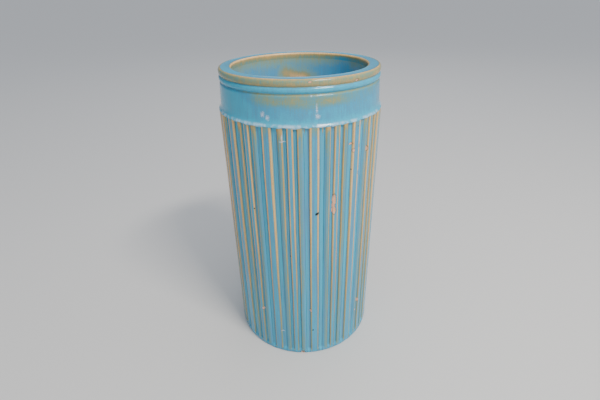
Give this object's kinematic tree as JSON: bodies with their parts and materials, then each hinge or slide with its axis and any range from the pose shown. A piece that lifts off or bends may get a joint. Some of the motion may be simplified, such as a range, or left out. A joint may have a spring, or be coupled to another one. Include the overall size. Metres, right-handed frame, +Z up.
{
  "type": "brush holder pot",
  "caption": "Tall straight-sided glazed ceramic pot with flat vertical ribs, a smooth collar and a double rolled rim, for standing brushes and pens upright on a desk.",
  "frame": {"origin": "on the table under the pot's axis, at the middle of the foot", "axes": "+Z up along the pot's axis; a broad rib is centred on -Y, and the ribs repeat every 30 degrees"},
  "size_m": [0.1032, 0.1032, 0.2],
  "materials": {
    "clay": "bare fired pink-buff clay, fine and dry",
    "outer_glaze": "glossy turquoise glaze that breaks to tan on every edge and pools blue in the flutes",
    "liner_glaze": "glossy blue-green glaze, olive tan where it runs thin below the lip"
  },
  "bodies": {
    "root": {"ribbed_wall": "clay", "collar_rim": "clay", "floor_slab": "clay", "foot_ring": "clay", "rib_glaze": "outer_glaze", "rim_glaze": "outer_glaze", "liner_glaze": "liner_glaze"}
  },
  "joints": []
}
